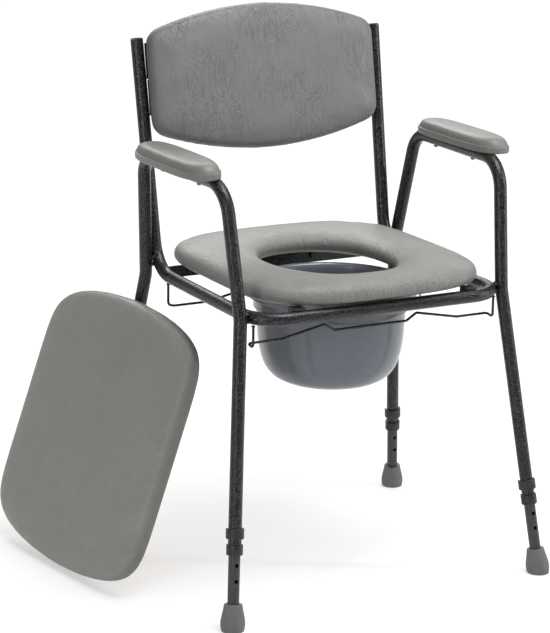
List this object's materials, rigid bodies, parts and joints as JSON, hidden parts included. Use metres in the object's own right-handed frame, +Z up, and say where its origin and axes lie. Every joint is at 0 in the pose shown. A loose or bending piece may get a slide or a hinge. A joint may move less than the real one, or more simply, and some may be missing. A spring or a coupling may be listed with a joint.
{
  "type": "commode chair",
  "caption": "Height-adjustable commode chair with padded seat opening, backrest, armrests, pan on carrier wires, telescopic legs and a loose lid cushion leaning on its side.",
  "frame": {"origin": "on the floor, under the middle of the whole object with its lid cushion", "axes": "+Z up, -Y towards the front of the chair, +X towards the chair's right arm as seen from the front"},
  "size_m": [0.7812, 0.6446, 0.9323],
  "materials": {
    "frame_paint": "black hammertone paint with silver speckle",
    "leg_paint": "dark grey fine-speckled paint",
    "black_plastic": "satin black plastic",
    "foot_rubber": "matt grey rubber",
    "grey_vinyl": "grained grey vinyl",
    "dark_vinyl": "grained and wrinkled grey vinyl",
    "plywood": "plain plywood",
    "armrest_pu": "fine-textured grey moulded foam",
    "pan_plastic": "satin blue-grey plastic",
    "dark_steel": "dark zinc-plated steel"
  },
  "bodies": {
    "frame": {"side_frame_left": "frame_paint", "side_frame_right": "frame_paint", "seat_back_frame": "frame_paint", "rear_crossbar": "frame_paint", "pan_wire_front": "frame_paint", "pan_wire_rear": "frame_paint", "upright_cap_left": "black_plastic", "upright_cap_right": "black_plastic", "end_bush_front_left": "black_plastic", "end_bush_front_right": "black_plastic", "end_bush_rear_left": "black_plastic", "end_bush_rear_right": "black_plastic", "backrest_pad": "dark_vinyl", "backrest_board": "plywood", "backrest_bracket_left_lower": "frame_paint", "backrest_bracket_left_upper": "frame_paint", "backrest_bracket_right_lower": "frame_paint", "backrest_bracket_right_upper": "frame_paint", "backrest_screw_left_lower": "dark_steel", "backrest_screw_left_upper": "dark_steel", "backrest_screw_right_lower": "dark_steel", "backrest_screw_right_upper": "dark_steel", "armrest_pad_left": "armrest_pu", "armrest_pad_right": "armrest_pu", "armrest_screw_left_front": "dark_steel", "armrest_screw_left_rear": "dark_steel", "armrest_screw_right_front": "dark_steel", "armrest_screw_right_rear": "dark_steel"},
    "leg_front_left": {"inner_leg_front_left": "leg_paint", "foot_front_left": "foot_rubber"},
    "clip_front_left": {"adjustment_clip_front_left": "black_plastic"},
    "leg_front_right": {"inner_leg_front_right": "leg_paint", "foot_front_right": "foot_rubber"},
    "clip_front_right": {"adjustment_clip_front_right": "black_plastic"},
    "leg_rear_left": {"inner_leg_rear_left": "leg_paint", "foot_rear_left": "foot_rubber"},
    "clip_rear_left": {"adjustment_clip_rear_left": "black_plastic"},
    "leg_rear_right": {"inner_leg_rear_right": "leg_paint", "foot_rear_right": "foot_rubber"},
    "clip_rear_right": {"adjustment_clip_rear_right": "black_plastic"},
    "seat": {"seat_pad": "grey_vinyl", "seat_board": "plywood", "seat_clip_front_left": "black_plastic", "seat_clip_front_right": "black_plastic", "seat_clip_rear_left": "black_plastic", "seat_clip_rear_right": "black_plastic"},
    "pan": {"pan": "pan_plastic"},
    "bail": {"pan_bail": "dark_steel"},
    "lid": {"lid_pad": "grey_vinyl", "lid_board": "plywood"}
  },
  "joints": [
    {"name": "leg_slide_front_left", "type": "slide", "parent": "frame", "child": "leg_front_left", "axis": [-0.0953, -0.1499, -0.9841], "range_m": [-0.0762, 0.0508]},
    {"name": "clip_pull_front_left", "type": "slide", "parent": "frame", "child": "clip_front_left", "axis": [0.0144, -0.9887, 0.1492], "range_m": [0, 0.03]},
    {"name": "leg_slide_front_right", "type": "slide", "parent": "frame", "child": "leg_front_right", "axis": [0.0953, -0.1499, -0.9841], "range_m": [-0.0762, 0.0508]},
    {"name": "clip_pull_front_right", "type": "slide", "parent": "frame", "child": "clip_front_right", "axis": [-0.0144, -0.9887, 0.1492], "range_m": [0, 0.03]},
    {"name": "leg_slide_rear_left", "type": "slide", "parent": "frame", "child": "leg_rear_left", "axis": [-0.1161, 0.1599, -0.9803], "range_m": [-0.0762, 0.0508]},
    {"name": "clip_pull_rear_left", "type": "slide", "parent": "frame", "child": "clip_rear_left", "axis": [-0.0188, -0.9871, -0.1588], "range_m": [0, 0.03]},
    {"name": "leg_slide_rear_right", "type": "slide", "parent": "frame", "child": "leg_rear_right", "axis": [0.1161, 0.1599, -0.9803], "range_m": [-0.0762, 0.0508]},
    {"name": "clip_pull_rear_right", "type": "slide", "parent": "frame", "child": "clip_rear_right", "axis": [0.0188, -0.9871, -0.1588], "range_m": [0, 0.03]},
    {"name": "seat_lift", "type": "slide", "parent": "frame", "child": "seat", "axis": [0, 0, 1], "range_m": [0, 0.08]},
    {"name": "pan_lift", "type": "slide", "parent": "frame", "child": "pan", "axis": [0, 0, 1], "range_m": [0, 0.01]},
    {"name": "bail_hinge", "type": "hinge", "parent": "pan", "child": "bail", "pos_m": [0.0678, -0.0849, 0.481], "axis": [-0.5736, -0.8192, 0], "range_deg": [0, 8]},
    {"name": "lid_carry", "type": "slide", "parent": "frame", "child": "lid", "axis": [-1, 0, 0], "range_m": [0, 0.2]}
  ]
}
